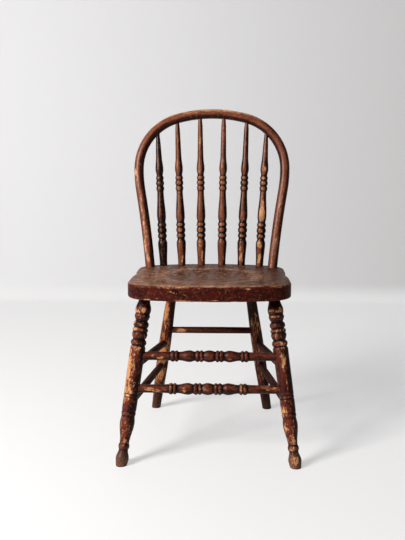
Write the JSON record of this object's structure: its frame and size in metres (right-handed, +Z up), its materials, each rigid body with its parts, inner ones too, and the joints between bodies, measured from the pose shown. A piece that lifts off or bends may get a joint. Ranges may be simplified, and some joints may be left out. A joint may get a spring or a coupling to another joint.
{
  "type": "spindle-back chair",
  "caption": "Bow-back wooden side chair with turned spindles, turned front legs and stretchers and a saddled plank seat; dark finish worn and flaking to bare wood.",
  "frame": {"origin": "on the floor, at the middle of the chair's bounding box", "axes": "+Z up; +Y towards the chair's back; +X towards the right side as seen from the front; the chair faces -Y"},
  "size_m": [0.4564, 0.4707, 0.8939],
  "materials": {
    "seat_varnish": "worn satin brown varnish, rubbed grey-brown on top, chipped at the arrises",
    "bow_varnish": "worn satin brown varnish, rubbed through to orange-brown wood",
    "spindle_varnish": "dark brown varnish, rubbed on the beads and chipped to bare wood",
    "front_leg_paint": "dark maroon-brown paint, flaking in long chips to pale wood",
    "rear_leg_paint": "dark brown paint, mostly flaked off to tan wood",
    "front_stretcher_varnish": "reddish-brown varnish, slightly glossy, rubbed on the rings",
    "plain_stretcher_paint": "dark brown paint with scattered chips",
    "wedge_wood": "bare wood, aged"
  },
  "bodies": {
    "root": {"seat": "seat_varnish", "bow": "bow_varnish", "bow_wedge_left": "wedge_wood", "bow_wedge_right": "wedge_wood", "spindle_1": "spindle_varnish", "spindle_2": "spindle_varnish", "spindle_3": "spindle_varnish", "spindle_4": "spindle_varnish", "spindle_5": "spindle_varnish", "spindle_6": "spindle_varnish", "front_leg_left": "front_leg_paint", "front_leg_right": "front_leg_paint", "rear_leg_left": "rear_leg_paint", "rear_leg_right": "rear_leg_paint", "front_stretcher_upper": "front_stretcher_varnish", "front_stretcher_lower": "front_stretcher_varnish", "side_stretcher_left_upper": "plain_stretcher_paint", "side_stretcher_left_lower": "plain_stretcher_paint", "side_stretcher_right_upper": "plain_stretcher_paint", "side_stretcher_right_lower": "plain_stretcher_paint", "rear_stretcher": "plain_stretcher_paint"}
  },
  "joints": []
}
